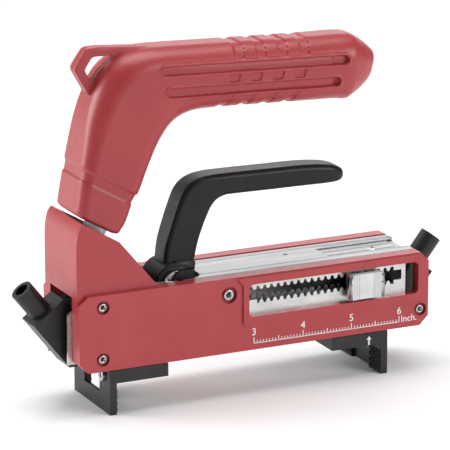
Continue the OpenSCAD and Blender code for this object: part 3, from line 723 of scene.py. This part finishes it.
# ---- Jaws, rests and grip pads ----
# Steel plates and bars with a black oxide finish, screwed together. The pads are knurled and
# pressed into the jaws' gripping faces.
oxide_steel = black_anodised("black_oxide_steel", "#1d1d1e", "#282829", 0.46)
for side in ("left", "right"):
    for node in ("jaw", "rest", "pads"):
        finished(f"{side}_{node}", oxide_steel, 0.1 if node == "pads" else 0.4)


def arrow_on_rest():
    """A printed arrow that points up at the rule from the right rest's front face."""
    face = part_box("right_rest")[0].y / MM
    outline = [(0, -1.8), (1.25, -3.6), (0.45, -3.6), (0.45, -6.2), (-0.45, -6.2), (-0.45, -3.6),
               (-1.25, -3.6)]
    points = [at(136.6 + x, y, z) for y in (face - ink_mm, face + ink_mm) for x, z in outline]
    n = len(outline)
    faces = [list(range(n)), list(range(2 * n - 1, n - 1, -1))]
    faces += [[i, n + i, n + (i + 1) % n, (i + 1) % n] for i in range(n)]
    return mesh_object("width_arrow", points, faces, white_ink)


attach(arrow_on_rest(), "right_jaw_body")


# ---- Jaw spring ----
# Wound from 1 mm spring wire with seven turns. It sits between the left guide and the post. In the tool it
# shortens as the jaw is squeezed in; here it is one fixed coil that rides with its body.
spring_wire = plated_steel("patented_spring_wire", "#8d8d8f", "#a4a4a6", 0.3, 0.4)


def coil(x0, x1, radius, wire, turns):
    steps, sides = 36, 10
    count = turns * steps
    points = []
    for i in range(count + 1):
        turn = 2 * math.pi * i / steps
        middle = x0 + wire + (x1 - x0 - 2 * wire) * i / count
        for k in range(sides):
            round_wire = 2 * math.pi * k / sides
            r = radius + wire * math.cos(round_wire)
            points.append(at(middle + wire * math.sin(round_wire), r * math.cos(turn),
                             8 + r * math.sin(turn)))
    faces = [[i * sides + k, i * sides + (k + 1) % sides, (i + 1) * sides + (k + 1) % sides,
              (i + 1) * sides + k] for i in range(count) for k in range(sides)]
    faces += [list(range(sides))[::-1], [count * sides + k for k in range(sides)]]
    return points, faces


spring_x0, spring_x1 = 16.1, 43.9
jaw_spring = mesh_object("jaw_spring_coil", *coil(spring_x0, spring_x1, 3.6, 0.5, 7), spring_wire, 60)
stands_for(jaw_spring, "jaw_spring")
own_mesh(jaw_spring)


# ---- Buttons ----
# Zinc die castings, bright nickel plated, with a thumb hollow between two fields of fine ribs.
# Each is pressed to free the lock plate on its stem from the rack.
nickel = plated_steel("bright_nickel", "#c6c6c8", "#d6d6d8", 0.2, 2.0)
button_x, button_z, button_y = (124.5, 143), (17.8, 30), (21.2, 24.4)
hollow_depth, rib_depth, rib_start, rib_end, rib_pitch = 0.9, 0.4, 0.36, 0.95, 0.107


def button_face(x0, x1, y_back, y_front):
    """The cap's outline from above: ribs on its outer thirds and a smooth hollow between them.
    The ribs' places are shares of half the cap's length from its middle."""
    outline = [(x1, y_back), (x0, y_back)]
    steps = 240
    for i in range(steps + 1):
        across = 2 * i / steps - 1
        hollow = hollow_depth * smooth_step(1.05, 0.1, abs(across))
        ribs = rib_depth / 2 * (1 - math.cos(2 * math.pi * (abs(across) - rib_start) / rib_pitch))
        if abs(across) < rib_start or abs(across) > rib_end:
            ribs = 0
        end = 0.5 * smooth_step(0.96, 1.0, abs(across))
        outline.append((x0 + (x1 - x0) * i / steps, y_front - hollow - ribs - end))
    return outline


def button_cap(name, side, material):
    """A ribbed cap with round corners, drawn from above and cut to its front outline."""
    outline = button_face(*button_x, *button_y)
    n = len(outline)
    points = [at(px, side * py, pz) for pz in button_z for px, py in outline]
    faces = [list(range(n)), list(range(2 * n - 1, n - 1, -1))]
    faces += [[i, n + i, n + (i + 1) % n, (i + 1) % n] for i in range(n)]
    if side < 0:
        faces = [face[::-1] for face in faces]
    cap = mesh_object(name + "_cap", points, faces, material)
    (x0, x1), (z0, z1) = button_x, button_z
    corners = [(x0, z0), (x1, z0), (x1, z1), (x0, z1)]
    front = flat_shape(name + "_front", [rounded(corners, 1.6)], -26, 26, 0.2, material)
    return combined(cap, front, "INTERSECT")


for side, name in ((-1, "front_button"), (1, "rear_button")):
    cap = button_cap(name, side, nickel)
    stem_x, stem_z, stem_r = sum(button_x) / 2, 25.7, 2
    stem_ys = sorted((side * 8, side * (button_y[0] + 0.4)))
    stem = cylinder_across(name + "_stem", stem_x, stem_z, stem_r, *stem_ys, nickel)
    combined(cap, stem, "UNION")
    stands_for(cap, name)
